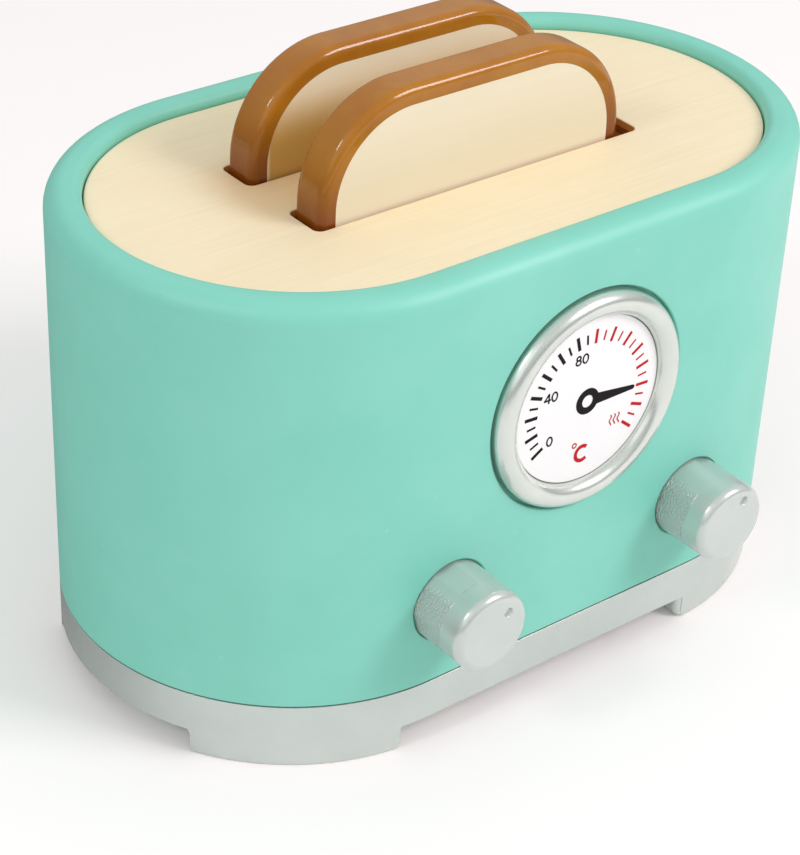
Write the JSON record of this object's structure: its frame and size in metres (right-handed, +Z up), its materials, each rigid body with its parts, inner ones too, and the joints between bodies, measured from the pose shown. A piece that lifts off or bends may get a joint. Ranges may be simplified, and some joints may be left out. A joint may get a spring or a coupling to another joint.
{
  "type": "toy toaster",
  "caption": "Round-ended painted wooden toy toaster with slotted plywood top, slices of toast on a sprung side-lever lift, printed dial and turning knobs, on a footed plinth.",
  "frame": {"origin": "on the table, under the middle of the overall length and depth, handle and knobs included", "axes": "+X towards the end with the lever, -Y out of the front with the dial and knobs, +Z up"},
  "size_m": [0.2134, 0.133, 0.1523],
  "materials": {
    "mint_paint": "satin mint paint on wood",
    "silver_paint": "satin silver metallic paint on wood",
    "natural_plywood": "clear satin varnish on light plywood",
    "dial_print": "satin white paint with a printed scale",
    "toast_paint": "glossy brown crust paint with a matte cream face",
    "inner_wood": "bare beech",
    "steel": "plain zinc-plated steel"
  },
  "bodies": {
    "housing": {"body_shell": "mint_paint", "top_plate": "natural_plywood", "cleat_front": "inner_wood", "cleat_rear": "inner_wood", "base_plinth": "silver_paint", "base_screws": "steel", "dial_bezel": "silver_paint", "dial_face": "dial_print", "guide_rod_left": "steel", "guide_rod_right": "steel", "lift_spring_left": "steel", "lift_spring_right": "steel"},
    "left_knob": {"knob_left": "silver_paint", "axle_left": "inner_wood", "washer_left": "steel", "axle_screw_left": "steel"},
    "right_knob": {"knob_right": "silver_paint", "axle_right": "inner_wood", "washer_right": "steel", "axle_screw_right": "steel"},
    "lift": {"toast_tray": "inner_wood", "lever_post": "inner_wood", "lever_screws": "steel", "lever_pin": "inner_wood", "lever_handle": "silver_paint"},
    "front_slice": {"bread_front": "toast_paint"},
    "rear_slice": {"bread_rear": "toast_paint"}
  },
  "joints": [
    {"name": "left_knob_turn", "type": "hinge", "parent": "housing", "child": "left_knob", "pos_m": [-0.04395, -0.0505, 0.0398], "axis": [0, -1, 0], "continuous": true},
    {"name": "right_knob_turn", "type": "hinge", "parent": "housing", "child": "right_knob", "pos_m": [0.03305, -0.0505, 0.0398], "axis": [0, -1, 0], "continuous": true},
    {"name": "lift_slide", "type": "slide", "parent": "housing", "child": "lift", "axis": [0, 0, 1], "range_m": [-0.026, 0], "stiffness_N_per_m": 100, "springref_m": 0.03, "deforming": ["lift_spring_left", "lift_spring_right"]},
    {"name": "front_slice_out", "type": "slide", "parent": "lift", "child": "front_slice", "axis": [0, 0, 1], "range_m": [0, 0.065]},
    {"name": "rear_slice_out", "type": "slide", "parent": "lift", "child": "rear_slice", "axis": [0, 0, 1], "range_m": [0, 0.065]}
  ]
}
